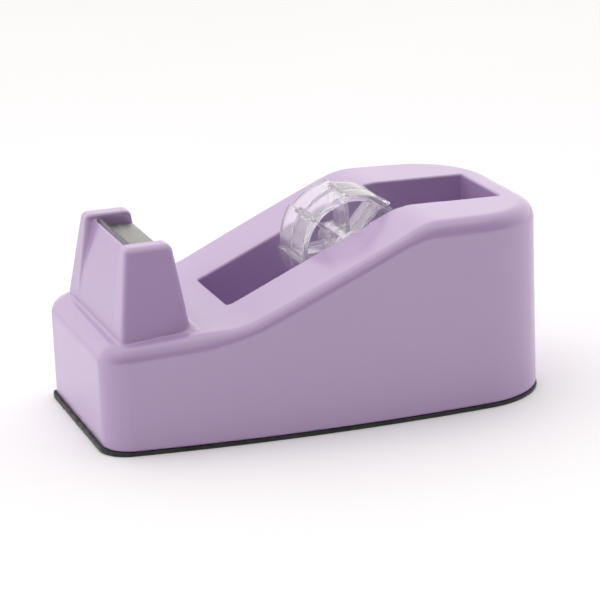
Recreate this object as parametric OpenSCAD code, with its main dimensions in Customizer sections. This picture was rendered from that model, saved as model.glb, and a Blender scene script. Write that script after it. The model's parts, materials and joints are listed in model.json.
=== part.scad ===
// Small desk tape dispenser: a weighted moulded housing with a cutter tower at the
// front, an open well for the roll, and a clear snap-together hub on a lift-out axle.
// Millimetres. X runs from the cutter (front, -X) to the rear, Y across, Z up.
// The origin is on the table under the middle of the foam pad.

/* [Overall size] */
// Length of the foam pad, the longest piece
length = 103; // [100:0.5:108]
// Greatest width of the foam pad
width = 60; // [58:0.5:64]
// Height of the rear deck above the table, at its front
rear_deck_h = 43; // [42:0.5:44]
// Height of the front deck at its front edge
front_deck_h = 23; // [22:0.5:23.5]
// How far the housing stands back from the edge of the pad
pad_reveal = 0.3; // [0.2:0.1:0.8]
// How much further the housing stands back at the front
front_step = 0.6; // [0:0.1:0.8]

/* [Plan outline] */
// Radius of the two front corners
front_corner_r = 7; // [5:0.5:8]
// Radius of the two rear corners
rear_corner_r = 18.5; // [16:0.5:20]
// Where the housing is widest
widest_x = 9; // [5:1:12]
// Radius of the gently bowed side walls
side_bow_r = 357; // [340:1:380]

/* [Side profile] */
// Upward slope of the front deck, in degrees
front_deck_slope = 3.9; // [3:0.1:4.5]
// Slope of the ramp, in degrees
ramp_slope = 23.5; // [22.5:0.1:24.5]
// Where the ramp reaches the rear deck
ramp_top_x = 20.9; // [20:0.1:22]
// Fall of the rear deck towards the rear, in degrees
rear_deck_slope = 1.4; // [0:0.1:2]
// Blend radius where the front deck turns into the ramp
ramp_foot_r = 20; // [10:1:24]
// Blend radius where the ramp turns into the rear deck
ramp_head_r = 14; // [8:1:18]
// Wall thickness of the housing
wall = 2; // [1.6:0.1:2.2]

/* [Roll well] */
// Front end of the well
well_front_x = -19; // [-20:0.5:-18]
// Rear end of the well
well_rear_x = 44.8; // [44:0.1:45]
// Width of the well
well_w = 22; // [21.4:0.1:22.4]
// Height of the floor of the well
well_floor_h = 5; // [4.8:0.1:6]
// Radius of the well's two lower corners
well_corner_r = 18; // [12:1:19]
// Thickness of the well's walls
well_wall = 1.4; // [1.2:0.1:1.4]

/* [Cutter tower] */
// Height of the two cheeks
tower_h = 42.7; // [42.4:0.1:43.2]
// Half width of the tower where it meets the deck
tower_half_base = 22.3; // [21:0.1:23]
// Half width of the tower at the top
tower_half_top = 18.3; // [18:0.1:19]
// Half distance between the inner faces of the cheeks
cheek_gap_half = 13.4; // [13:0.1:13.8]
// Front of the tower where it meets the deck
tower_front_base_x = -45.8; // [-46:0.1:-45.2]
// Front of the tower at the top
tower_front_top_x = -42.9; // [-43.2:0.1:-42.6]
// Rear of the tower where it meets the deck
tower_rear_base_x = -30.4; // [-31:0.1:-30]
// Rear of the tower at the top
tower_rear_top_x = -32.7; // [-33.2:0.1:-32.4]
// Height at which the recess between the cheeks begins
recess_foot_h = 28.5; // [27:0.5:30]
// Radius of the crowned plate that the tape end rests on
platform_r = 14.5; // [13:0.5:17]
// Highest point of the crowned plate
platform_h = 40.2; // [39.8:0.1:40.4]
// Thickness of the crowned plate
platform_t = 0.5; // [0.4:0.1:0.8]
// Where the plate is highest
platform_x = -35.5; // [-36:0.1:-35]
// Width of the groove between each end of the plate and its cheek
seat_groove_w = 0.9; // [0.6:0.1:1.2]
// Depth of those grooves below the seat of the plate
seat_groove_d = 1.2; // [0.6:0.1:1.3]

/* [Cutter blade] */
// Front face of the blade
blade_x = -40.6; // [-40.8:0.1:-40.4]
// Thickness of the blade
blade_t = 0.4; // [0.3:0.1:0.5]
// Height of the tips of the teeth
blade_h = 42.4; // [42.2:0.1:42.6]
// Height of the lip in front of the blade
lip_h = 41.4; // [41:0.1:41.6]
// Thickness of that lip at its top
lip_t = 0.6; // [0.5:0.1:0.8]
// Lower edge of the blade inside its slot
blade_foot_h = 37; // [36.8:0.1:37.4]
// Distance from tooth to tooth
tooth_pitch = 0.9; // [0.8:0.1:1.2]
// Depth of the teeth
tooth_d = 0.6; // [0.4:0.1:0.8]

/* [Hub and axle] */
// Hub axis, from the origin
hub_x = 11.8; // [11.5:0.1:12.5]
// Height of the hub axis
hub_h = 33; // [32.6:0.1:33.4]
// Outer radius of the hub
hub_r = 13; // [12.8:0.1:13.2]
// Width of the hub over both halves
hub_w = 15.4; // [15:0.1:17]
// Thickness of the hub's rim at a ramp's high end
rim_t = 1.9; // [1.7:0.1:2.1]
// How far each grip ramp falls from its step to its end
ramp_rise = 0.8; // [0.3:0.1:0.9]
// Number of grip ramps around the rim
ramp_count = 8; // [6:1:10]
// Number of webs between rim and boss
web_count = 8; // [6:1:10]
// Thickness of a web
web_t = 1; // [0.6:0.1:1.2]
// How far the webs reach from the middle of the hub towards each side
web_w = 4.2; // [3:0.1:6]
// Outer radius of the hub's boss
boss_r = 3.4; // [3.2:0.1:4]
// Radius of the axle
axle_r = 2; // [1.8:0.1:2.2]
// Radial running clearance of the hub on the axle
axle_clearance = 0.05; // [0.03:0.01:0.1]
// Thickness of the flat end of the axle, front to rear
axle_flat = 3.2; // [3:0.1:3.4]
// Depth of the guide grooves in the walls of the well
groove_d = 1; // [0.9:0.1:1.1]
// Gap around the axle's ends in the grooves
groove_gap = 0.15; // [0.1:0.05:0.2]

/* [Base] */
// Thickness of the foam pad
pad_t = 0.8; // [0.7:0.1:1.2]
// Thickness of the adhesive sheet that holds the pad
adhesive_t = 0.2; // [0.1:0.05:0.3]
// Thickness of the base plate
base_t = 2; // [1.8:0.1:2]
// Gap around the base plate
base_gap = 0.15; // [0.1:0.05:0.3]
// Height of the steel weights
weight_h = 8; // [5:0.5:10]
// Length of the two side weights
side_weight_l = 46; // [40:1:48]
// Width of the two side weights
side_weight_w = 10; // [8:0.5:10.5]
// Length of the front weight
front_weight_l = 22; // [16:1:23]
// Width of the front weight
front_weight_w = 32; // [26:1:36]
// Radius of the base screws
screw_r = 1.2; // [1:0.1:1.3]
// Length of the base screws
screw_l = 9; // [7:0.5:10]

/* [Hidden] */
$fn = 96;
eps = 0.01;
far = 200;
rear_arc_n = 10;
front_arc_n = 6;
side_n = 6;
blend_n = 5;
well_arc_n = 12;
ramp_n = 8;
// Small gaps and overlaps where pieces meet
slot_gap = 0.05;
slot_d = 0.6;
thread_gap = 0.05;
screw_gap = 0.2;
head_gap = 0.1;
platform_gap = 0.3;
half_gap = 0.02;
tab_gap = 1;
web_root = 0.5;
weight_lift = 0.1;
weight_gap = 0.8;
adhesive_inset = 1;
tower_foot_rise = 1;
// Direction of the first grip ramp's step, and the lean of every step
first_step_a = 139;
step_lean_a = 0.4;
// Rails round the weights
rail_t = 1.2;
rail_h = 3;
rail_gap = 0.2;
side_rail_l = 36;
end_rail_w = 6;
front_rail_l = 12;
front_rail_w = 16;
body_z = pad_t + adhesive_t;
base_top_z = body_z + base_t;
weight_z = base_top_z + weight_lift;
half_l = length / 2;
ramp_rate = tan(ramp_slope);
front_rate = tan(front_deck_slope);
ramp_zero = rear_deck_h - ramp_top_x * ramp_rate;
ramp_foot_x = (front_deck_h + half_l * front_rate - ramp_zero) / (ramp_rate - front_rate);
ramp_foot_z = ramp_zero + ramp_foot_x * ramp_rate;
tower_base_z = front_deck_h + tower_foot_rise;
crown_z = platform_h - platform_r;
side_weight_y = well_w / 2 + well_wall + weight_gap + side_weight_w / 2;
side_weight_x = 6;
front_weight_x = -34;
boss_xy = [[-44, 19.6], [37, 18.2]];
screw_boss_r = 3;
screw_head_r = 2.3;
screw_head_h = 1.2;
axle_half = well_w / 2 + groove_d - groove_gap;
seat_half = cheek_gap_half - seat_groove_w;
lavender = [0.80, 0.71, 0.84];
clear = [0.86, 0.90, 0.93, 0.5];
steel = [0.66, 0.66, 0.66];
black = [0.10, 0.10, 0.11];

// Half width of the plan at x, on the bowed side
function side_y(x) = width / 2 - side_bow_r + sqrt(pow(side_bow_r, 2) - pow(x - widest_x, 2));

// Lean of the bowed side where a corner arc with radius r and its centre at x runs into it
function corner_lean(x, r) = asin((x - widest_x) / (side_bow_r - r));

// Centre of that corner arc
function corner_centre(x, r) =
    [x, width / 2 - side_bow_r + (side_bow_r - r) * cos(corner_lean(x, r))];

// Points of an arc about c with radius r from angle a to angle b
function arc(c, r, a, b, n) =
    [for (i = [0:n]) let (t = a + (b - a) * i / n) [c[0] + r * cos(t), c[1] + r * sin(t)]];

// One half of the plan outline, from the rear corner round the bowed side to the front
// whose flat end lies at -front
function half_outline(front) =
    let (rear_c = corner_centre(half_l - rear_corner_r, rear_corner_r),
         rear_lean = corner_lean(rear_c[0], rear_corner_r),
         rear_x = rear_c[0] + rear_corner_r * sin(rear_lean),
         front_c = corner_centre(front_corner_r - front, front_corner_r),
         front_lean = corner_lean(front_c[0], front_corner_r),
         front_x = front_c[0] + front_corner_r * sin(front_lean))
    concat(arc(rear_c, rear_corner_r, 0, 90 - rear_lean, rear_arc_n),
           [for (i = [1:side_n - 1])
            let (x = rear_x + (front_x - rear_x) * i / side_n) [x, side_y(x)]],
           arc(front_c, front_corner_r, 90 - front_lean, 180, front_arc_n));

// Plan outline with its flat end at -front
module plan(front = half_l - front_step) {
    upper = half_outline(front);
    polygon(concat(upper, [for (i = [len(upper) - 1:-1:0]) [upper[i][0], -upper[i][1]]]));
}

// Blend arc between two straight runs of the side profile that meet at p
function blend(p, a_in, a_out, r) =
    let (turn = a_out - a_in,
         side = turn > 0 ? 1 : -1,
         run = r * tan(abs(turn) / 2),
         c = [p[0] - run * cos(a_in) - side * r * sin(a_in),
              p[1] - run * sin(a_in) + side * r * cos(a_in)])
    arc(c, r, a_in - side * 90, a_out - side * 90, blend_n);

// Side profile of the housing, from its foot to the decks
module side_profile() {
    polygon(concat(
        [[-half_l, body_z], [-half_l, front_deck_h]],
        blend([ramp_foot_x, ramp_foot_z], front_deck_slope, ramp_slope, ramp_foot_r),
        blend([ramp_top_x, rear_deck_h], ramp_slope, -rear_deck_slope, ramp_head_r),
        [[half_l, rear_deck_h - (half_l - ramp_top_x) * tan(rear_deck_slope)],
         [half_l, body_z]]));
}

// Extrudes a profile drawn in X and Z across the width
module across(w) {
    rotate([90, 0, 0])
        linear_extrude(w, center = true) children();
}

// Body of the housing without the tower, with every face moved in by t
module body_block(t) {
    intersection() {
        translate([0, 0, body_z - (t > 0 ? 1 : 0)])
            linear_extrude(rear_deck_h)
                offset(delta = -pad_reveal - t) plan();
        across(width)
            translate([0, -t]) side_profile();
    }
}

// Tapered block of the tower, with its sides moved in by t
module tower_block(t) {
    intersection() {
        across(width)
            polygon([[tower_front_base_x + t, body_z],
                     [tower_front_base_x + t, tower_base_z],
                     [tower_front_top_x + t, tower_h - t],
                     [tower_rear_top_x - t, tower_h - t],
                     [tower_rear_base_x - t, tower_base_z],
                     [tower_rear_base_x - t, body_z]]);
        rotate([90, 0, 90])
            linear_extrude(length, center = true)
                polygon([[t - tower_half_base, body_z],
                         [t - tower_half_base, tower_base_z],
                         [t - tower_half_top, tower_h],
                         [tower_half_top - t, tower_h],
                         [tower_half_base - t, tower_base_z],
                         [tower_half_base - t, body_z]]);
    }
}

// Crowned solid under a surface that lies depth below the top of the platform
module crown(depth) {
    translate([platform_x, 0, crown_z])
        rotate([90, 0, 0])
            cylinder(r = platform_r - depth, h = far, center = true);
}

// Space between the cheeks, over the crowned seat and in front of the sloping panel
module cheek_gap() {
    difference() {
        translate([blade_x, -cheek_gap_half, crown_z])
            cube([tower_rear_base_x - blade_x + 1, 2 * cheek_gap_half, far]);
        crown(platform_t + seat_groove_d);
        intersection() {
            crown(platform_t);
            cube([far, 2 * seat_half, far], center = true);
        }
    }
    front_lean = (tower_front_top_x - tower_front_base_x) / (tower_h - tower_base_z);
    foot_x = tower_front_base_x + front_lean * (recess_foot_h - tower_base_z);
    across(2 * cheek_gap_half)
        polygon([[foot_x, recess_foot_h], [-half_l, recess_foot_h], [-half_l, rear_deck_h],
                 [blade_x + eps, rear_deck_h], [blade_x + eps, lip_h], [blade_x - lip_t, lip_h]]);
}

// Hollow inside the tower, under the crowned seat and behind the sloping panel
module tower_hollow() {
    intersection() {
        tower_block(wall);
        crown(platform_t + wall);
        across(width)
            polygon([[tower_front_base_x + wall, body_z],
                     [tower_front_base_x + wall, recess_foot_h],
                     [blade_x + blade_t + wall, platform_h],
                     [0, platform_h],
                     [0, body_z]]);
    }
}

// Outline of the well in X and Z, moved out by t
module well_profile(t) {
    r = well_corner_r + t;
    polygon(concat(
        [[well_front_x - t, far]],
        arc([well_front_x + well_corner_r, well_floor_h + well_corner_r], r, 180, 270, well_arc_n),
        arc([well_rear_x - well_corner_r, well_floor_h + well_corner_r], r, 270, 360, well_arc_n),
        [[well_rear_x + t, far]]));
}

// Guide grooves for the axle's flat ends, open at the top, with every side moved out by t
module groove_box(t) {
    half_x = axle_flat / 2 + groove_gap + t;
    half_y = well_w / 2 + groove_d + t;
    translate([hub_x - half_x, -half_y, hub_h - axle_r - groove_gap - t])
        cube([2 * half_x, 2 * half_y, far]);
}

// Each base screw's place
module at_screws() {
    for (p = boss_xy, s = [-1, 1])
        translate([p[0], s * p[1], 0]) children();
}

// Slot that holds the blade in the seat and in the cheeks
module blade_slot() {
    translate([blade_x - slot_gap, -cheek_gap_half - slot_d, blade_foot_h - slot_gap])
        cube([blade_t + 2 * slot_gap, 2 * (cheek_gap_half + slot_d), far]);
}

// Everything hollow inside the housing, below its decks
module cavity() {
    difference() {
        union() {
            body_block(wall);
            tower_hollow();
        }
        across(well_w + 2 * well_wall) well_profile(well_wall);
        groove_box(well_wall);
        at_screws()
            translate([0, 0, base_top_z]) cylinder(r = screw_boss_r, h = far);
    }
}

module housing() {
    color(lavender)
        difference() {
            union() {
                body_block(0);
                tower_block(0);
            }
            cavity();
            across(well_w) well_profile(0);
            groove_box(0);
            cheek_gap();
            blade_slot();
            at_screws() cylinder(r = screw_r + thread_gap, h = body_z + screw_l + 1);
        }
}

// Serrated strip that stands in front of the platform
module cutter_blade() {
    blade_half = cheek_gap_half + slot_d - 2 * slot_gap;
    teeth = floor((2 * blade_half - tooth_d) / tooth_pitch);
    start = -teeth * tooth_pitch / 2;
    color(steel)
        translate([blade_x, 0, 0])
            rotate([90, 0, 90])
                linear_extrude(blade_t)
                    polygon(concat(
                        [[-blade_half, blade_foot_h], [-blade_half, blade_h - tooth_d]],
                        [for (i = [0:teeth - 1]) each
                            [[start + i * tooth_pitch, blade_h - tooth_d],
                             [start + (i + 0.5) * tooth_pitch, blade_h]]],
                        [[blade_half, blade_h - tooth_d], [blade_half, blade_foot_h]]));
}

// Crowned steel plate that the free end of the tape sticks to
module tape_platform() {
    front = blade_x + blade_t + platform_gap;
    color(steel)
        intersection() {
            difference() {
                crown(0);
                crown(platform_t - eps);
            }
            translate([front, -seat_half, crown_z])
                cube([tower_rear_top_x - front, 2 * seat_half, far]);
        }
}

// Outline of the rim with its grip ramps
module rim_outline() {
    polygon([for (i = [0:ramp_count - 1], j = [0:ramp_n])
             let (a = first_step_a + 360 / ramp_count * (i + j / ramp_n)
                      + (j == 0 ? step_lean_a : 0),
                  r = hub_r - ramp_rise * j / ramp_n)
             [r * cos(a), r * sin(a)]]);
}

// One half of the hub, from the middle outwards
module hub_half(side) {
    half_w = hub_w / 2 - half_gap;
    inner_r = hub_r - rim_t;
    color(clear)
        translate([hub_x, side * (half_w / 2 + half_gap), hub_h])
            rotate([90, 0, 0])
                difference() {
                    union() {
                        linear_extrude(half_w, center = true)
                            difference() {
                                rim_outline();
                                circle(r = inner_r);
                            }
                        for (i = [0:web_count - 1])
                            rotate(first_step_a + 360 / web_count * i)
                                translate([boss_r - web_root, -web_t / 2,
                                           side < 0 ? -half_w / 2 : half_w / 2 - web_w])
                                    cube([inner_r - boss_r + 2 * web_root, web_t, web_w]);
                        cylinder(r = boss_r, h = half_w, center = true);
                    }
                    cylinder(r = axle_r + axle_clearance, h = far, center = true);
                }
}

module hub_left_half() hub_half(-1);

module hub_right_half() hub_half(1);

// Axle with a flat tab at each end, which keeps it from turning in the grooves
module hub_axle() {
    tab_start = hub_w / 2 + tab_gap;
    color(clear)
        translate([hub_x, 0, hub_h]) {
            rotate([90, 0, 0]) cylinder(r = axle_r, h = 2 * tab_start, center = true);
            for (s = [-1, 1])
                translate([0, s * (tab_start + axle_half) / 2, 0])
                    cube([axle_flat, axle_half - tab_start, 2 * axle_r], center = true);
        }
}

// Rail on the base plate that keeps a weight in its place
module rail(x, y, l, w) {
    translate([x - l / 2, y - w / 2, base_top_z - eps]) cube([l, w, rail_h]);
}

module base_plate() {
    rail_out = rail_gap + rail_t / 2;
    side_rail_y = side_weight_y + side_weight_w / 2 + rail_out;
    side_end = side_weight_l / 2 + rail_out;
    color(lavender)
        difference() {
            union() {
                translate([0, 0, body_z])
                    linear_extrude(base_t)
                        offset(delta = -pad_reveal - wall - base_gap) plan();
                for (s = [-1, 1]) {
                    rail(side_weight_x, s * side_rail_y, side_rail_l, rail_t);
                    rail(side_weight_x - side_end, s * side_weight_y, rail_t, end_rail_w);
                    rail(side_weight_x + side_end, s * side_weight_y, rail_t, end_rail_w);
                    rail(front_weight_x, s * (front_weight_w / 2 + rail_out), front_rail_l, rail_t);
                }
                rail(front_weight_x - front_weight_l / 2 - rail_out, 0, rail_t, front_rail_w);
            }
            at_screws() {
                translate([0, 0, body_z - 1]) cylinder(r = screw_r + screw_gap, h = base_t + 2);
                translate([0, 0, body_z - eps])
                    cylinder(r = screw_head_r + head_gap, h = screw_head_h + head_gap);
            }
        }
}

module base_screws() {
    color(steel)
        at_screws()
            translate([0, 0, body_z]) {
                cylinder(r = screw_head_r, h = screw_head_h);
                cylinder(r = screw_r, h = screw_l);
            }
}

module front_weight() {
    color(steel)
        translate([front_weight_x, 0, weight_z + weight_h / 2])
            cube([front_weight_l, front_weight_w, weight_h], center = true);
}

module side_weight(side) {
    color(steel)
        translate([side_weight_x, side * side_weight_y, weight_z + weight_h / 2])
            cube([side_weight_l, side_weight_w, weight_h], center = true);
}

module left_weight() side_weight(-1);

module right_weight() side_weight(1);

module adhesive_sheet() {
    color([0.85, 0.83, 0.75])
        translate([0, 0, pad_t])
            linear_extrude(adhesive_t) offset(delta = -pad_reveal - adhesive_inset) plan();
}

module foam_pad() {
    color(black)
        linear_extrude(pad_t) plan(half_l);
}

housing();
cutter_blade();
tape_platform();
hub_left_half();
hub_right_half();
hub_axle();
base_plate();
base_screws();
front_weight();
left_weight();
right_weight();
adhesive_sheet();
foam_pad();
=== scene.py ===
"""Small desk tape dispenser: lavender housing, steel cutter, clear hub and black foam foot.

Shapes are worked out in millimetres and turned into metres as their meshes are made.
Moulded pieces are distance fields, so every edge and inner corner has its true radius.
"""
import json
import math

import bmesh
import bpy
import numpy as np
from mathutils import Matrix, Vector, noise


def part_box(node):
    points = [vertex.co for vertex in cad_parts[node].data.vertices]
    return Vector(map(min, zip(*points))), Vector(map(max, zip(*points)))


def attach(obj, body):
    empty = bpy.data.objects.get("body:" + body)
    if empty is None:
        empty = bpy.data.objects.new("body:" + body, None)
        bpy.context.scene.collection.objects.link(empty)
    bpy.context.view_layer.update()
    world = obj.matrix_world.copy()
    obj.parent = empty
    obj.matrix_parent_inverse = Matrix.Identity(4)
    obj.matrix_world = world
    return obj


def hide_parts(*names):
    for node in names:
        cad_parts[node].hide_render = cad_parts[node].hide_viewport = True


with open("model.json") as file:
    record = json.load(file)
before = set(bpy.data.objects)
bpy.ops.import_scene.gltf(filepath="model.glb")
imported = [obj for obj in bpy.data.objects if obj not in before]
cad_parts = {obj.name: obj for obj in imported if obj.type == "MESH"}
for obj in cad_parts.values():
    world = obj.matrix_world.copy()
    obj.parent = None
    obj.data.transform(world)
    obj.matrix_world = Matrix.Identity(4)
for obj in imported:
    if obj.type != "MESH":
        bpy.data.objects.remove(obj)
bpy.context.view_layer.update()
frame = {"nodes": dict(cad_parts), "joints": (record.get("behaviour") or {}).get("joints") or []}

MM = 0.001


# ---------------------------------------------------------------- sizes from the frame

def box_mm(node):
    """Lowest and highest corner of a CAD node, in millimetres."""
    low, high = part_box(node)
    return np.array(low) / MM, np.array(high) / MM


_, PAD_HIGH = box_mm("foam_pad")
SHELL_LOW, SHELL_HIGH = box_mm("housing")
BLADE_LOW, BLADE_HIGH = box_mm("cutter_blade")
PLATE_LOW, PLATE_HIGH = box_mm("tape_platform")
HUB_LOW, HUB_HIGH = box_mm("hub_left_half")
FAR_HUB_LOW, FAR_HUB_HIGH = box_mm("hub_right_half")
AXLE_LOW, AXLE_HIGH = box_mm("hub_axle")
spin = next(j for j in frame["joints"] if j["name"] == "hub_spin")
HUB_X, _, HUB_Z = [c / MM for c in spin["pos_m"]]

PAD_HALF_L = PAD_HIGH[0]
PAD_HALF_W = 30.0
# The pad shows this much beyond the shell at the rear and sides, and more at the front
SHELL_INSET = PAD_HIGH[0] - SHELL_HIGH[0]
SHELL_FRONT = -SHELL_LOW[0] + SHELL_INSET
SHELL_FOOT_R = 0.3

# Plan outline: bowed sides, small front corners and large rear corners
WIDEST_X = 9.0
BOW_R = 357.0
FRONT_CORNER_R = 7.0
REAR_CORNER_R = 18.5

# Side profile of the decks
FRONT_DECK_Z = 23.0
FRONT_SLOPE = math.radians(3.9)
RAMP_SLOPE = math.radians(23.5)
RAMP_TOP_X = 20.9
REAR_DECK_Z = 43.0
REAR_SLOPE = math.radians(-1.4)
FOOT_BLEND = 1.4
HEAD_BLEND = 1.5
TOP_EDGE_R = 3.6
RAMP_EDGE_R = 2.4
RAMP_EDGE_X = (-25.0, 20.0)
EDGE_R_FADE = 8.0

# Hollow underside
WALL = 2.0
CAVITY_EDGE_R = 0.5
AXLE_WALL_FILLET = 0.4

# Roll well
WELL_X = (-19.0, 44.8)
WELL_HALF_W = 11.0
WELL_FLOOR_Z = 5.0
WELL_FLOOR_R = 18.0
WELL_CORNER_R = 0.5
WELL_EDGE_R = 0.55
WELL_WALL = 1.4

# Cutter tower, at its foot and at its top
TOWER_Z = (24.0, 42.7)
TOWER_ROOT_Z = 16.0
TOWER_FRONT_X = (-45.8, -42.9)
TOWER_REAR_X = (-30.4, -32.7)
TOWER_HALF_W = (22.3, 18.3)
TOWER_FRONT_EDGE_R = 1.1
TOWER_EDGE_R = 1.3
CHEEK_GAP_HALF = 13.4
CHEEK_FOOT_R = 0.5
CHEEK_EDGE_R = 0.8
RECESS_FOOT_Z = 28.5
LIP_Z = 41.4
LIP_T = 0.6
CROWN_R = 14.5
CROWN_X = -35.5
CROWN_Z = PLATE_HIGH[2] - CROWN_R
PLATE_T = 0.5
PLATE_STEPS = 28
PLATE_EDGE = 0.12
SEAT_GROOVE_D = 1.2
SEAT_EDGE_R = 0.3
SEAT_FOOT_R = 0.2
LIP_EDGE_R = 0.2

# Fillet at the tower's foot, tight in front and wider behind
FOOT_FILLET = 0.35
FOOT_FILLET_GROWTH = 1.8
FOOT_FILLET_X = -33
FOOT_FILLET_FADE = 3

# Blade
TOOTH_PITCH = 0.9
TOOTH_D = 0.6
GRIND_D = 0.5
TIP_T = 0.02
GULLET_T = 0.14

# Hub
HUB_R = 13.0
RIM_T = 1.9
RAMP_RISE = 0.8
RAMP_COUNT = 8
STEP_EDGE_R = 0.12
FIRST_STEP_DEG = 139.0
WEB_COUNT = 8
WEB_T = 1.0
WEB_W = 4.2
WEB_EDGE_R = 0.25
WEB_OVERLAP = 0.4
BOSS_R = 3.4
HUB_FILLET = 0.35
HUB_EDGE_R = 0.22

# Axle and its guide grooves
AXLE_R = 2.0
AXLE_CLEARANCE = 0.05
AXLE_EDGE_R = 0.2
AXLE_TAB = 3.2
TAB_EDGE_R = 0.3
TAB_FILLET = 0.1
SHANK_PAST_HUB = 1.0
GROOVE_GAP = 0.15
GROOVE_EDGE_R = 0.3
GROOVE_FOOT_R = 0.6

# Foam pad: spacing of its points, and how far it stands up in front of the shell
PAD_STEP = 0.45
PAD_PRESS_FADE = 0.8
PAD_LIFT = 0.45
PAD_LIFT_DRIFT = 0.5
# Height share and inset of each ring, from the middle of the top round to the underside
PAD_RINGS = ((1.0, 1.6), (1.0, 0.28), (0.86, 0.10), (0.5, 0.04), (0.14, 0.10), (0.0, 0.30),
             (0.0, 1.6))

HOUSING_STEP = 0.5
HOUSING_KEEP = 0.3
HUB_STEP = 0.27
AXLE_STEP = 0.22
SMALL_KEEP = 0.5


# ---------------------------------------------------------------- distance fields

def round_min(a, b, r):
    """Union of two fields with a concave fillet of radius r where they meet."""
    return np.maximum(r, np.minimum(a, b)) - np.hypot(np.maximum(r - a, 0), np.maximum(r - b, 0))


def round_max(a, b, r):
    """Intersection of two fields with an edge rounded to radius r."""
    return -round_min(-a, -b, r)


def soft_min(a, b, k):
    """Union of two nearly parallel fields, blended where they differ by less than k."""
    h = np.maximum(k - np.abs(a - b), 0) / k
    return np.minimum(a, b) - h * h * k / 4


def edge_radius(x):
    """Radius of the top edge, smaller along the ramp than round the two decks."""
    inside = np.minimum(x - RAMP_EDGE_X[0], RAMP_EDGE_X[1] - x)
    share = np.clip(inside / EDGE_R_FADE + 0.5, 0, 1)
    return TOP_EDGE_R + (RAMP_EDGE_R - TOP_EDGE_R) * share


def lean_plane(u, z, at_foot, at_top, zs=TOWER_Z):
    """Field of a flat side that leans inwards from at_foot to at_top, outside where u is larger."""
    lean = math.atan2(at_foot - at_top, zs[1] - zs[0])
    return (u - at_foot) * math.cos(lean) + (z - zs[0]) * math.sin(lean)


def corner(centre_x, r):
    """Centre of a plan corner at y > 0, and the lean of the bowed side where it runs in."""
    lean = math.asin((centre_x - WIDEST_X) / (BOW_R - r))
    return centre_x, PAD_HALF_W - BOW_R + (BOW_R - r) * math.cos(lean), lean


def plan_field(x, y, inset):
    """Plan outline that follows the pad apart from its front, moved in by inset."""
    side = np.hypot(x - WIDEST_X, np.abs(y) + BOW_R - PAD_HALF_W) - BOW_R
    field = np.maximum(side, np.maximum(x - PAD_HALF_L, -x - SHELL_FRONT))
    for way, end, r in ((1, PAD_HALF_L, REAR_CORNER_R), (-1, SHELL_FRONT, FRONT_CORNER_R)):
        centre_x, centre_y, lean = corner(way * (end - r), r)
        u, v = way * (x - centre_x), np.abs(y) - centre_y
        in_corner = (v > 0) & (u * math.cos(lean) > v * math.sin(lean) * way)
        field = np.where(in_corner, np.hypot(u, v) - r, field)
    return field + inset


def deck_field(x, z):
    """Everything below the front deck, the ramp and the rear deck."""
    front, ramp, rear = (
        (z - z0 - (x - x0) * math.tan(slope)) * math.cos(slope)
        for x0, z0, slope in ((-PAD_HALF_L, FRONT_DECK_Z, FRONT_SLOPE),
                              (RAMP_TOP_X, REAR_DECK_Z, RAMP_SLOPE),
                              (RAMP_TOP_X, REAR_DECK_Z, REAR_SLOPE)))
    return -soft_min(-soft_min(front, ramp, FOOT_BLEND), -rear, HEAD_BLEND)


def well_field(x, y, z, grow=0.0):
    """Open well for the roll, made larger by grow on every side."""
    ends = np.maximum(WELL_X[0] - x, x - WELL_X[1]) - grow
    profile = round_max(ends, WELL_FLOOR_Z - z - grow, WELL_FLOOR_R + grow)
    return round_max(profile, np.abs(y) - WELL_HALF_W - grow, WELL_CORNER_R)


def groove_field(x, y, z):
    """Guide grooves for the axle's tabs in the walls of the well."""
    across = np.abs(x - HUB_X) - AXLE_TAB / 2 - GROOVE_GAP
    ends = np.abs(y) - AXLE_HIGH[1] - GROOVE_GAP
    foot = HUB_Z - AXLE_R - GROOVE_GAP - z
    return round_max(round_max(across, ends, GROOVE_EDGE_R), foot, GROOVE_FOOT_R)


def tower_field(x, y, z):
    """Tapered tower with two cheeks, a crowned seat and a sloping recessed panel."""
    front = lean_plane(-x, z, -TOWER_FRONT_X[0], -TOWER_FRONT_X[1])
    rear = lean_plane(x, z, *TOWER_REAR_X)
    side = lean_plane(np.abs(y), z, *TOWER_HALF_W)
    block = round_max(front, z - TOWER_Z[1], TOWER_FRONT_EDGE_R)
    block = round_max(block, rear, TOWER_EDGE_R)
    block = round_max(block, side, TOWER_EDGE_R)
    # The leaning sides would go on widening inside the body, so the block ends in it
    block = np.maximum(block, TOWER_ROOT_Z - z)
    front_rate = (TOWER_FRONT_X[1] - TOWER_FRONT_X[0]) / (TOWER_Z[1] - TOWER_Z[0])
    foot_x = TOWER_FRONT_X[0] + front_rate * (RECESS_FOOT_Z - TOWER_Z[0])
    panel = lean_plane(-x, z, -foot_x, LIP_T - BLADE_LOW[0], zs=(RECESS_FOOT_Z, LIP_Z))
    lip = np.maximum(x - BLADE_LOW[0], z - LIP_Z)
    crown = np.hypot(x - CROWN_X, z - CROWN_Z) - CROWN_R + PLATE_T
    seat = round_max(crown, np.abs(y) - PLATE_HIGH[1], SEAT_EDGE_R)
    seat = round_min(seat, crown + SEAT_GROOVE_D, SEAT_FOOT_R)
    core = round_max(np.minimum(lip, seat), panel, LIP_EDGE_R)
    gap = round_max(np.abs(y) - CHEEK_GAP_HALF, -core, CHEEK_FOOT_R)
    return round_max(block, -gap, CHEEK_EDGE_R)


def cavity_field(x, y, z):
    """Hollow underside of the shell, round the walls of the well."""
    hollow = round_max(plan_field(x, y, SHELL_INSET + WALL), deck_field(x, z) + WALL,
                       edge_radius(x) - WALL)
    well = well_field(x, y, z, WELL_WALL)
    axle_wall = groove_field(x, y, z) - WELL_WALL
    return round_max(hollow, -round_min(well, axle_wall, AXLE_WALL_FILLET), CAVITY_EDGE_R)


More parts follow.
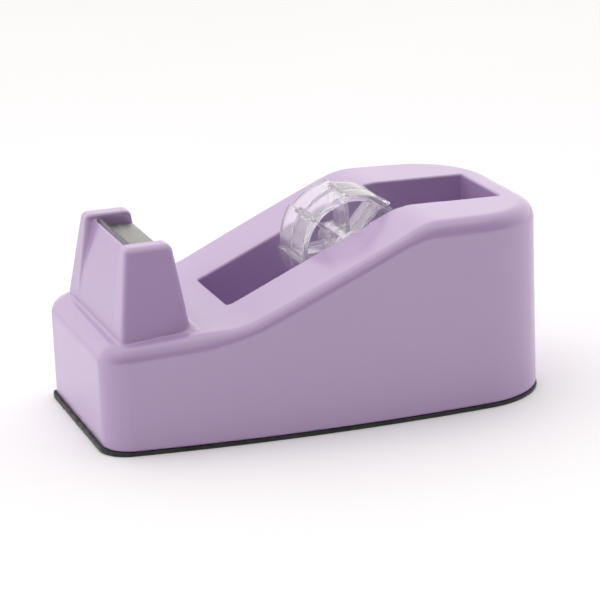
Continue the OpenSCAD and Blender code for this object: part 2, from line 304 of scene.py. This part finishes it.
def housing_field(x, y, z):
    """The whole moulded shell."""
    body = round_max(plan_field(x, y, SHELL_INSET), deck_field(x, z), edge_radius(x))
    rearward = np.clip((x - FOOT_FILLET_X) / FOOT_FILLET_FADE, 0, 1)
    fillet = FOOT_FILLET + FOOT_FILLET_GROWTH * rearward
    solid = round_min(body, tower_field(x, y, z), fillet)
    solid = round_max(solid, SHELL_LOW[2] - z, SHELL_FOOT_R)
    solid = round_max(solid, -cavity_field(x, y, z), SHELL_FOOT_R)
    solid = round_max(solid, -well_field(x, y, z), WELL_EDGE_R)
    return round_max(solid, -groove_field(x, y, z), GROOVE_EDGE_R)


def rim_field(x, z):
    """Outside of the hub's rim: a ring of grip ramps, each falling away from its step."""
    rho = np.hypot(x, z)
    angle = np.degrees(np.arctan2(z, x))
    pitch = 360.0 / RAMP_COUNT
    low_r = HUB_R - RAMP_RISE
    outside = rho - low_r
    for i in range(RAMP_COUNT):
        past = np.mod(angle - FIRST_STEP_DEG - pitch * i + 180, 360) - 180
        ramp = rho - (low_r + RAMP_RISE * (1 - past / pitch))
        step = -rho * np.sin(np.radians(np.clip(past, -90, 90)))
        outside = np.minimum(outside, round_max(ramp, step, STEP_EDGE_R))
    return outside


def hub_field(side):
    """Field of one hub half, on the low-Y side if side is -1."""
    low, high = (HUB_LOW[1], HUB_HIGH[1]) if side < 0 else (FAR_HUB_LOW[1], FAR_HUB_HIGH[1])

    def field(px, y, pz):
        x, z = px - HUB_X, pz - HUB_Z
        rho = np.hypot(x, z)
        inner_r = HUB_R - RIM_T
        ring = np.maximum(rim_field(x, z), inner_r - rho)
        webs = np.full_like(rho, 1e3)
        for i in range(WEB_COUNT // 2):
            a = math.radians(FIRST_STEP_DEG + 360 / WEB_COUNT * i)
            webs = np.minimum(webs, np.abs(z * math.cos(a) - x * math.sin(a)) - WEB_T / 2)
        webs = round_max(webs, np.abs(y) - WEB_W, WEB_EDGE_R)
        webs = np.maximum(webs, rho - inner_r - WEB_OVERLAP)
        flat = round_min(round_min(ring, webs, HUB_FILLET), rho - BOSS_R, HUB_FILLET)
        solid = round_max(flat, np.maximum(low - y, y - high), HUB_EDGE_R)
        return round_max(solid, AXLE_R + AXLE_CLEARANCE - rho, AXLE_EDGE_R)

    return field


def axle_field(px, y, pz):
    """Round axle with a flat tab at each end."""
    x, z = px - HUB_X, pz - HUB_Z
    rho = np.hypot(x, z)
    shank_end = FAR_HUB_HIGH[1] + SHANK_PAST_HUB
    shank = round_max(rho - AXLE_R, np.abs(y) - shank_end, AXLE_EDGE_R)
    tab = np.maximum(np.abs(x) - AXLE_TAB / 2, rho - AXLE_R)
    tab = round_max(tab, np.abs(y) - AXLE_HIGH[1], TAB_EDGE_R)
    return round_min(shank, tab, TAB_FILLET)


# ---------------------------------------------------------------- meshes

def gradient(field, p, h=0.01):
    """Gradient of a field at an array of points."""
    g = np.empty_like(p)
    for i in range(3):
        step = np.zeros(3)
        step[i] = h
        g[:, i] = (field(*(p + step).T) - field(*(p - step).T)) / (2 * h)
    return g


def settle(field, p, limit, rounds=4):
    """Moves points onto the surface of a field along its gradient."""
    for _ in range(rounds):
        g = gradient(field, p)
        move = g * (field(*p.T) / np.maximum((g * g).sum(1), 0.05))[:, None]
        length = np.linalg.norm(move, axis=1, keepdims=True)
        p = p - move * np.minimum(1, limit / np.maximum(length, 1e-9))
    return p


def net(field, low, high, step):
    """Points and quads of a field's surface, one point in each grid cell that it crosses."""
    axes = [np.arange(low[i] - 1.5 * step, high[i] + 2.5 * step, step) for i in range(3)]
    f = field(*np.meshgrid(*axes, indexing="ij"))
    inside = f < 0
    n = [s - 1 for s in f.shape]
    corners = [(i, j, k) for i in (0, 1) for j in (0, 1) for k in (0, 1)]
    count = sum(inside[i:i + n[0], j:j + n[1], k:k + n[2]].astype(np.int8) for i, j, k in corners)
    cells = np.array(np.nonzero((count > 0) & (count < 8)))
    index = np.full(n, -1)
    index[tuple(cells)] = np.arange(cells.shape[1])
    total = np.zeros((cells.shape[1], 3))
    hits = np.zeros(cells.shape[1])
    for a in corners:
        for axis in range(3):
            if a[axis]:
                continue
            b = tuple(c + (i == axis) for i, c in enumerate(a))
            fa = f[tuple(cells[i] + a[i] for i in range(3))]
            fb = f[tuple(cells[i] + b[i] for i in range(3))]
            cross = (fa < 0) != (fb < 0)
            t = fa / np.where(cross, fa - fb, 1)
            for i in range(3):
                total[:, i] += cross * (t if i == axis else a[i])
            hits += cross
    origin = np.array([ax[0] for ax in axes])
    points = origin + (cells.T + total / hits[:, None]) * step
    quads = []
    for axis in range(3):
        u, v = (axis + 1) % 3, (axis + 2) % 3
        a = [slice(1, -1)] * 3
        b = [slice(1, -1)] * 3
        a[axis], b[axis] = slice(None, -1), slice(1, None)
        edge = np.array(np.nonzero(inside[tuple(a)] != inside[tuple(b)]))
        edge[u] += 1
        edge[v] += 1
        ring = []
        for du, dv in ((-1, -1), (0, -1), (0, 0), (-1, 0)):
            cell = edge.copy()
            cell[u] += du
            cell[v] += dv
            ring.append(index[tuple(cell)])
        quad = np.stack(ring, 1)
        outward = inside[tuple(edge)]
        quads.append(np.where(outward[:, None], quad, quad[:, ::-1]))
    return points, np.concatenate(quads)


def mesh_object(name, points, faces):
    """A new object from points in millimetres and an array of quads."""
    mesh = bpy.data.meshes.new(name)
    mesh.vertices.add(len(points))
    mesh.vertices.foreach_set("co", (points * MM).astype(np.float32).ravel())
    mesh.loops.add(faces.size)
    mesh.loops.foreach_set("vertex_index", faces.astype(np.int32).ravel())
    mesh.polygons.add(len(faces))
    mesh.polygons.foreach_set("loop_start", np.arange(0, faces.size, 4, dtype=np.int32))
    mesh.update(calc_edges=True)
    mesh.validate()
    obj = bpy.data.objects.new(name, mesh)
    bpy.context.scene.collection.objects.link(obj)
    return obj


def apply_modifiers(obj):
    """Replaces an object's mesh with what its modifiers make of it."""
    graph = bpy.context.evaluated_depsgraph_get()
    mesh = bpy.data.meshes.new_from_object(obj.evaluated_get(graph))
    obj.modifiers.clear()
    obj.data = mesh


def moulded(name, field, low, high, step, keep):
    """Object on the surface of a field, thinned to a share of its triangles, with exact normals."""
    points, quads = net(field, low, high, step)
    obj = mesh_object(name, settle(field, points, step), quads)
    thin = obj.modifiers.new("thin", "DECIMATE")
    thin.ratio = keep
    apply_modifiers(obj)
    mesh = obj.data
    mesh.name = name
    co = np.empty(len(mesh.vertices) * 3, np.float32)
    mesh.vertices.foreach_get("co", co)
    p = settle(field, co.reshape(-1, 3).astype(float) / MM, 0.02, rounds=2)
    mesh.vertices.foreach_set("co", (p * MM).astype(np.float32).ravel())
    normal = gradient(field, p)
    normal /= np.maximum(np.linalg.norm(normal, axis=1, keepdims=True), 1e-9)
    mesh.polygons.foreach_set("use_smooth", [True] * len(mesh.polygons))
    mesh.normals_split_custom_set_from_vertices(normal.tolist())
    mesh.update()
    return obj


def bmesh_object(name, bm):
    """A new object from a bmesh in millimetres."""
    bmesh.ops.scale(bm, vec=(MM, MM, MM), verts=bm.verts)
    bmesh.ops.recalc_face_normals(bm, faces=bm.faces)
    mesh = bpy.data.meshes.new(name)
    bm.to_mesh(mesh)
    bm.free()
    obj = bpy.data.objects.new(name, mesh)
    bpy.context.scene.collection.objects.link(obj)
    return obj


def soften(obj, width_mm, segments=3, angle=35):
    """Bevels an object's sharp edges and shades it smooth with flat faces kept flat."""
    bevel = obj.modifiers.new("edge", "BEVEL")
    bevel.width = width_mm * MM
    bevel.segments = segments
    bevel.limit_method = "ANGLE"
    bevel.angle_limit = math.radians(angle)
    bevel.harden_normals = True
    obj.data.polygons.foreach_set("use_smooth", [True] * len(obj.data.polygons))
    return obj


# ---------------------------------------------------------------- pieces

def make_housing():
    """Moulded shell with its decks, well and cutter tower."""
    return moulded("housing_shell", housing_field, SHELL_LOW, SHELL_HIGH,
                   HOUSING_STEP, HOUSING_KEEP)


def make_hub_half(name, side):
    """One half of the clear hub, on the low-Y side if side is -1."""
    low, high = (HUB_LOW, HUB_HIGH) if side < 0 else (FAR_HUB_LOW, FAR_HUB_HIGH)
    return moulded(name, hub_field(side), low, high, HUB_STEP, SMALL_KEEP)


def make_axle():
    """Clear axle that the hub turns on."""
    return moulded("axle_pin", axle_field, AXLE_LOW, AXLE_HIGH, AXLE_STEP, SMALL_KEEP)


def make_blade():
    """Thin strip with ground, pointed teeth along its upper edge."""
    half = BLADE_HIGH[1]
    front, back = BLADE_LOW[0], BLADE_HIGH[0]
    tip_z = BLADE_HIGH[2]
    gullet_z = tip_z - TOOTH_D
    grind_z = gullet_z - GRIND_D
    count = int((2 * half - TOOTH_D) / TOOTH_PITCH)
    edge = [(-half, gullet_z)]
    for i in range(count):
        y = (i - count / 2) * TOOTH_PITCH
        edge += [(y, gullet_z), (y + TOOTH_PITCH / 2, tip_z)]
    edge += [(count / 2 * TOOTH_PITCH, gullet_z), (half, gullet_z)]
    bm = bmesh.new()
    # The back face is whole and the front is ground away towards the teeth's tips
    rows = []
    for y, z in edge:
        tip_share = (z - gullet_z) / TOOTH_D
        thickness = GULLET_T + (TIP_T - GULLET_T) * tip_share
        rows.append([bm.verts.new((back, y, BLADE_LOW[2])),
                     bm.verts.new((front, y, BLADE_LOW[2])),
                     bm.verts.new((front, y, grind_z)),
                     bm.verts.new((back - thickness, y, z)),
                     bm.verts.new((back, y, z))])
    for left, right in zip(rows, rows[1:]):
        for i in range(5):
            j = (i + 1) % 5
            bm.faces.new((left[i], right[i], right[j], left[j]))
    bm.faces.new(rows[0])
    bm.faces.new(rows[-1])
    return bmesh_object("serrated_blade", bm)


def make_platform():
    """Crowned plate that falls away to both sides of its highest line."""
    x0, x1 = PLATE_LOW[0], PLATE_HIGH[0]
    y_half = PLATE_HIGH[1]
    bm = bmesh.new()
    rings = []
    for i in range(PLATE_STEPS + 1):
        x = x0 + (x1 - x0) * i / PLATE_STEPS
        top = CROWN_Z + math.sqrt(CROWN_R ** 2 - (x - CROWN_X) ** 2)
        under = CROWN_Z + math.sqrt((CROWN_R - PLATE_T) ** 2 - (x - CROWN_X) ** 2)
        rings.append([bm.verts.new((x, -y_half, top)), bm.verts.new((x, y_half, top)),
                      bm.verts.new((x, y_half, under)), bm.verts.new((x, -y_half, under))])
    for a, b in zip(rings, rings[1:]):
        for i in range(4):
            j = (i + 1) % 4
            bm.faces.new((a[i], b[i], b[j], a[j]))
    bm.faces.new(rings[0])
    bm.faces.new(rings[-1])
    return soften(bmesh_object("tape_plate", bm), PLATE_EDGE)


def half_outline(step):
    """Points of the pad's outline at y >= 0, from the rear round to the front."""
    rear_x, rear_y, rear_lean = corner(PAD_HALF_L - REAR_CORNER_R, REAR_CORNER_R)
    front_x, front_y, front_lean = corner(FRONT_CORNER_R - PAD_HALF_L, FRONT_CORNER_R)

    def arc(cx, cy, r, a, b):
        n = int(r * (b - a) / step)
        angles = [a + (b - a) * i / n for i in range(n)]
        return [(cx + r * math.cos(t), cy + r * math.sin(t)) for t in angles]

    side = arc(WIDEST_X, PAD_HALF_W - BOW_R, BOW_R,
               math.pi / 2 - rear_lean, math.pi / 2 - front_lean)
    return (arc(rear_x, rear_y, REAR_CORNER_R, 0, math.pi / 2 - rear_lean) + side
            + arc(front_x, front_y, FRONT_CORNER_R, math.pi / 2 - front_lean, math.pi)
            + [(-PAD_HALF_L, front_y)])


def make_pad():
    """Foam sheet with a slightly ragged cut edge."""
    upper = half_outline(PAD_STEP)
    outline = upper + [(x, -y) for x, y in reversed(upper)]
    spread = []
    for (xa, ya), (xb, yb) in zip(outline, outline[1:] + outline[:1]):
        parts = max(1, round(math.hypot(xb - xa, yb - ya) / PAD_STEP))
        spread += [(xa + (xb - xa) * i / parts, ya + (yb - ya) * i / parts) for i in range(parts)]
    top = PAD_HIGH[2]
    bm = bmesh.new()
    loops = []
    for r, (share, inset) in enumerate(PAD_RINGS):
        on_edge = 0 < r < len(PAD_RINGS) - 1
        loop = []
        for x, y in spread:
            inward = Vector((-x / PAD_HALF_L, -y / PAD_HALF_W, 0)).normalized()
            rough = 0.0
            lift = 0.0
            if on_edge:
                rough = 0.07 + 0.10 * noise.noise(Vector((x * 1.3, y * 1.3, share * 3)))
                rough += 0.07 * noise.noise(Vector((x * 3.1, y * 3.1, share * 7)))
                # The foam is pressed out a little in front of the shell and stands up there
                press = min(1, max(0, (-x - SHELL_FRONT + PAD_PRESS_FADE) / PAD_PRESS_FADE))
                drift = noise.noise(Vector((y * 0.35, 0, 0)))
                lift = press * share * (PAD_LIFT + PAD_LIFT_DRIFT * drift)
            p = Vector((x, y, top * share + lift)) + inward * (inset + rough)
            loop.append(bm.verts.new(p))
        loops.append(loop)
    count = len(spread)
    for a, b in zip(loops, loops[1:]):
        for i in range(count):
            j = (i + 1) % count
            bm.faces.new((a[i], a[j], b[j], b[i]))
    bm.faces.new(loops[0])
    bm.faces.new(loops[-1])
    obj = bmesh_object("foam_foot", bm)
    obj.data.polygons.foreach_set("use_smooth", [len(p.vertices) == 4 for p in obj.data.polygons])
    return obj


# ---------------------------------------------------------------- materials

class Nodes:
    """Short hand for building one material's node tree."""

    def __init__(self, name):
        self.material = bpy.data.materials.new(name)
        self.material.use_nodes = True
        self.tree = self.material.node_tree
        self.shader = self.tree.nodes["Principled BSDF"]
        self.coords = self.tree.nodes.new("ShaderNodeTexCoord").outputs["Object"]

    def add(self, kind, **values):
        """A node with its inputs or properties set."""
        made = self.tree.nodes.new("ShaderNode" + kind)
        for key, value in values.items():
            if hasattr(made, key):
                setattr(made, key, value)
            else:
                made.inputs[key.replace("_", " ").title()].default_value = value
        return made

    def link(self, out, to):
        """Joins an output to an input."""
        self.tree.links.new(out, to)

    def set(self, **values):
        """Sets the shader's own sockets."""
        for key, value in values.items():
            self.shader.inputs[key.replace("_", " ")].default_value = value

    def noise(self, scale, detail=3.0, rough=0.5, stretch=None):
        """Noise of a scale per metre, stretched if asked."""
        made = self.add("TexNoise", scale=scale, detail=detail, roughness=rough)
        source = self.coords
        if stretch:
            mapping = self.add("Mapping")
            mapping.inputs["Scale"].default_value = stretch
            self.link(source, mapping.inputs["Vector"])
            source = mapping.outputs["Vector"]
        self.link(source, made.inputs["Vector"])
        return made.outputs["Fac"]

    def ramp(self, value, low, high, at=(0.3, 0.7)):
        """Colour ramp from one grey or colour to another."""
        made = self.add("ValToRGB")
        for stop, where, tone in zip(made.color_ramp.elements, at, (low, high)):
            stop.position = where
            stop.color = (tone, tone, tone, 1) if isinstance(tone, float) else (*tone, 1)
        self.link(value, made.inputs["Fac"])
        return made.outputs["Color"]

    def mix(self, a, b, share):
        """Mix of two colours."""
        made = self.add("Mix", data_type="RGBA")
        for value, socket in ((share, made.inputs[0]), (a, made.inputs[6]), (b, made.inputs[7])):
            if isinstance(value, bpy.types.NodeSocket):
                self.link(value, socket)
            else:
                socket.default_value = value if isinstance(value, float) else (*value, 1)
        return made.outputs[2]

    def bump(self, height, strength, distance_mm, under=None):
        """Bump from a height, over an earlier bump if there is one."""
        made = self.add("Bump")
        made.inputs["Strength"].default_value = strength
        made.inputs["Distance"].default_value = distance_mm * MM
        self.link(height, made.inputs["Height"])
        if under is not None:
            self.link(under, made.inputs["Normal"])
        return made.outputs["Normal"]

    def finish(self, colour=None, roughness=None, normal=None):
        """Links what was made to the shader and returns the material."""
        for value, socket in ((colour, "Base Color"), (roughness, "Roughness"), (normal, "Normal")):
            if value is not None:
                self.link(value, self.shader.inputs[socket])
        return self.material


def lavender_plastic():
    """Gloss moulded ABS: faint tone drift, soft flow marks and a fine orange peel."""
    n = Nodes("lavender_plastic")
    drift = n.noise(22, detail=2.0)
    colour = n.ramp(drift, (0.492, 0.346, 0.594), (0.508, 0.358, 0.612))
    gloss = n.ramp(n.noise(60, detail=4.0), 0.16, 0.22)
    n.set(Specular_IOR_Level=1.0)
    peel = n.bump(n.noise(900, detail=2.0), 0.10, 0.05)
    return n.finish(colour, gloss, peel)


def base_plastic():
    """Satin plastic of the base plate, with mould texture."""
    n = Nodes("base_plastic")
    colour = n.ramp(n.noise(40), (0.52, 0.38, 0.61), (0.57, 0.42, 0.66))
    normal = n.bump(n.noise(2500, detail=2.0), 0.25, 0.05)
    return n.finish(colour, n.ramp(n.noise(90), 0.45, 0.6), normal)


def clear_plastic():
    """Polished clear polystyrene with faint moulding waves."""
    n = Nodes("clear_plastic")
    colour = n.ramp(n.noise(35), (0.975, 0.965, 0.995), (0.99, 0.98, 1.0))
    rough = n.ramp(n.noise(140, detail=4.0), 0.02, 0.07)
    normal = n.bump(n.noise(260, detail=1.0), 0.12, 0.08)
    n.set(Transmission_Weight=0.93, IOR=1.45)
    return n.finish(colour, rough, normal)


def platform_steel():
    """Satin steel with fine brush lines across the width."""
    n = Nodes("platform_steel")
    lines = n.noise(700, detail=4.0, stretch=(5.0, 0.12, 5.0))
    colour = n.ramp(lines, (0.27, 0.27, 0.26), (0.36, 0.36, 0.345))
    rough = n.ramp(lines, 0.38, 0.52)
    normal = n.bump(lines, 0.15, 0.03)
    n.set(Metallic=1.0)
    return n.finish(colour, rough, normal)


def blade_steel():
    """Ground stainless steel with grinding marks."""
    n = Nodes("blade_steel")
    marks = n.noise(1500, detail=3.0, stretch=(1.0, 1.0, 0.1))
    colour = n.ramp(marks, (0.16, 0.16, 0.165), (0.26, 0.26, 0.27))
    n.set(Metallic=1.0)
    return n.finish(colour, n.ramp(marks, 0.22, 0.38), n.bump(marks, 0.2, 0.02))


def screw_steel():
    """Zinc-plated steel with a mottled passivation."""
    n = Nodes("screw_steel")
    colour = n.ramp(n.noise(900), (0.55, 0.55, 0.54), (0.72, 0.72, 0.70))
    n.set(Metallic=1.0)
    return n.finish(colour, n.ramp(n.noise(1200), 0.25, 0.42), n.bump(n.noise(3000), 0.15, 0.02))


def weight_steel():
    """Rolled mild steel with dark mill scale."""
    n = Nodes("weight_steel")
    scale = n.noise(160, detail=6.0, rough=0.65)
    colour = n.ramp(scale, (0.06, 0.06, 0.065), (0.24, 0.22, 0.21))
    n.set(Metallic=0.8)
    return n.finish(colour, n.ramp(scale, 0.75, 0.45), n.bump(scale, 0.4, 0.08))


def adhesive():
    """Cream double-sided sheet with a crepe surface."""
    n = Nodes("adhesive")
    crepe = n.noise(800, detail=3.0, stretch=(1.0, 0.25, 1.0))
    colour = n.ramp(crepe, (0.62, 0.58, 0.47), (0.72, 0.69, 0.58))
    return n.finish(colour, n.ramp(crepe, 0.6, 0.75), n.bump(crepe, 0.3, 0.04))


def black_foam():
    """Black EVA foam: fine open cells that catch a little light."""
    n = Nodes("black_foam")
    cells = n.add("TexVoronoi", scale=2600.0)
    n.link(n.coords, cells.inputs["Vector"])
    fuzz = n.noise(1700, detail=5.0, rough=0.7)
    dust = n.ramp(n.noise(420, detail=4.0), (0.016, 0.016, 0.017), (0.045, 0.044, 0.046))
    colour = n.mix(dust, (0.09, 0.09, 0.092), n.ramp(fuzz, 0.0, 0.6, at=(0.55, 0.8)))
    pores = n.bump(cells.outputs["Distance"], 0.6, 0.12)
    normal = n.bump(fuzz, 0.7, 0.15, under=pores)
    n.set(Specular_IOR_Level=0.25, Sheen_Weight=0.25, Sheen_Roughness=0.6)
    return n.finish(colour, n.ramp(fuzz, 0.8, 0.95), normal)


def floor_paper():
    """Plain pale studio floor."""
    n = Nodes("floor_paper")
    colour = n.ramp(n.noise(6), (0.94, 0.94, 0.95), (0.96, 0.96, 0.97))
    n.set(Emission_Color=(1, 1, 1, 1), Emission_Strength=0.10)
    return n.finish(colour, n.ramp(n.noise(40), 0.75, 0.85), None)


# ---------------------------------------------------------------- assembly

def dress(obj, material):
    """Gives an object one material."""
    obj.data.materials.clear()
    obj.data.materials.append(material)


def fit(obj, body, node, material):
    """A made piece rides on a body, stands for a CAD node and has that slot's material."""
    dress(obj, material)
    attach(obj, body)
    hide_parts(node)


MATERIALS = {
    maker.__name__: maker()
    for maker in (lavender_plastic, base_plastic, clear_plastic, platform_steel, blade_steel,
                  screw_steel, weight_steel, adhesive, black_foam)
}

MADE = (
    (make_housing(), "base", "housing", "lavender_plastic"),
    (make_blade(), "base", "cutter_blade", "blade_steel"),
    (make_platform(), "base", "tape_platform", "platform_steel"),
    (make_pad(), "base", "foam_pad", "black_foam"),
    (make_axle(), "axle", "hub_axle", "clear_plastic"),
    (make_hub_half("near_hub_half", -1), "hub", "hub_left_half", "clear_plastic"),
    (make_hub_half("far_hub_half", 1), "hub", "hub_right_half", "clear_plastic"),
)
for obj, body, node, slot_name in MADE:
    fit(obj, body, node, MATERIALS[slot_name])
    # Light passes the clear pieces, so they cast no dark shadow in the well
    obj.visible_shadow = slot_name != "clear_plastic"

KEPT = {
    "base_plate": ("base_plastic", 0.25),
    "base_screws": ("screw_steel", 0.15),
    "front_weight": ("weight_steel", 0.5),
    "left_weight": ("weight_steel", 0.5),
    "right_weight": ("weight_steel", 0.5),
    "adhesive_sheet": ("adhesive", 0.03),
}
for node, (slot_name, edge) in KEPT.items():
    dress(frame["nodes"][node], MATERIALS[slot_name])
    soften(frame["nodes"][node], edge, segments=2)


# ---------------------------------------------------------------- studio

# Camera fitted to the photograph: turn, height and roll in degrees, and metres
CAMERA_DEG = (-18.604, 16.450, -2.275)
CAMERA_TARGET = (0.001074, 0, 0.021183)
CAMERA_DISTANCE = 0.5721
CAMERA_LENS = 155.22

# Strength of the surroundings before and behind the object, and the tint of all light
WORLD_FRONT = 0.07
WORLD_BACK = 1.24
TINT = (1.03, 1.0, 0.99)

LAMP_PLACE = (-0.08, -0.18, 0.62)
LAMP_TARGET = (0, 0, 0.02)
LAMP_SIZE = 0.90
LAMP_POWER = 1.3
FLOOR_HALF = 5000


def area_light(name, place, target, size, power, colour):
    """Soft square lamp at place, turned to target, both in metres."""
    lamp = bpy.data.lights.new(name, "AREA")
    lamp.shape = "SQUARE"
    lamp.size = size
    lamp.energy = power
    lamp.color = colour
    obj = bpy.data.objects.new(name, lamp)
    obj.location = place
    obj.rotation_euler = (Vector(target) - Vector(place)).to_track_quat("-Z", "Y").to_euler()
    bpy.context.scene.collection.objects.link(obj)


def make_floor():
    """Wide flat floor at the foot of the pad."""
    bm = bmesh.new()
    bmesh.ops.create_grid(bm, x_segments=8, y_segments=8, size=FLOOR_HALF)
    obj = bmesh_object("floor", bm)
    dress(obj, floor_paper())


def make_camera():
    """Camera at the photograph's viewing angle: long lens, from the front left, a little above."""
    azimuth, elevation, roll = (math.radians(a) for a in CAMERA_DEG)
    back = Vector((math.sin(azimuth) * math.cos(elevation),
                   -math.cos(azimuth) * math.cos(elevation), math.sin(elevation)))
    right = Vector((math.cos(azimuth), math.sin(azimuth), 0))
    up = back.cross(right)
    right, up = (right * math.cos(roll) + up * math.sin(roll),
                 up * math.cos(roll) - right * math.sin(roll))
    data = bpy.data.cameras.new("camera")
    data.sensor_width = 36
    data.lens = CAMERA_LENS
    data.clip_start = 0.01
    obj = bpy.data.objects.new("camera", data)
    turn = Matrix((right, up, back)).transposed().to_4x4()
    place = Vector(CAMERA_TARGET) + back * CAMERA_DISTANCE
    obj.matrix_world = Matrix.Translation(place) @ turn
    bpy.context.scene.collection.objects.link(obj)
    bpy.context.scene.camera = obj


def make_world():
    """Pale surroundings, brighter behind the object than in front of it."""
    world = bpy.data.worlds.new("studio")
    world.use_nodes = True
    tree = world.node_tree
    coords = tree.nodes.new("ShaderNodeTexCoord")
    split = tree.nodes.new("ShaderNodeSeparateXYZ")
    tree.links.new(coords.outputs["Generated"], split.inputs["Vector"])
    level = tree.nodes.new("ShaderNodeMapRange")
    level.interpolation_type = "SMOOTHSTEP"
    for name, value in (("From Min", -0.9), ("From Max", 0.5),
                        ("To Min", WORLD_FRONT), ("To Max", WORLD_BACK)):
        level.inputs[name].default_value = value
    tree.links.new(split.outputs["Y"], level.inputs["Value"])
    tree.links.new(level.outputs["Result"], tree.nodes["Background"].inputs["Strength"])
    tree.nodes["Background"].inputs["Color"].default_value = (*TINT, 1)
    bpy.context.scene.world = world


make_floor()
make_camera()
make_world()
area_light("top", LAMP_PLACE, LAMP_TARGET, LAMP_SIZE, LAMP_POWER, TINT)
bpy.context.scene.view_settings.view_transform = "Standard"

# The clear hub needs deep ray paths to look clear
cycles = bpy.context.scene.cycles
cycles.max_bounces = 32
cycles.transmission_bounces = 32
cycles.glossy_bounces = 12
cycles.diffuse_bounces = 10
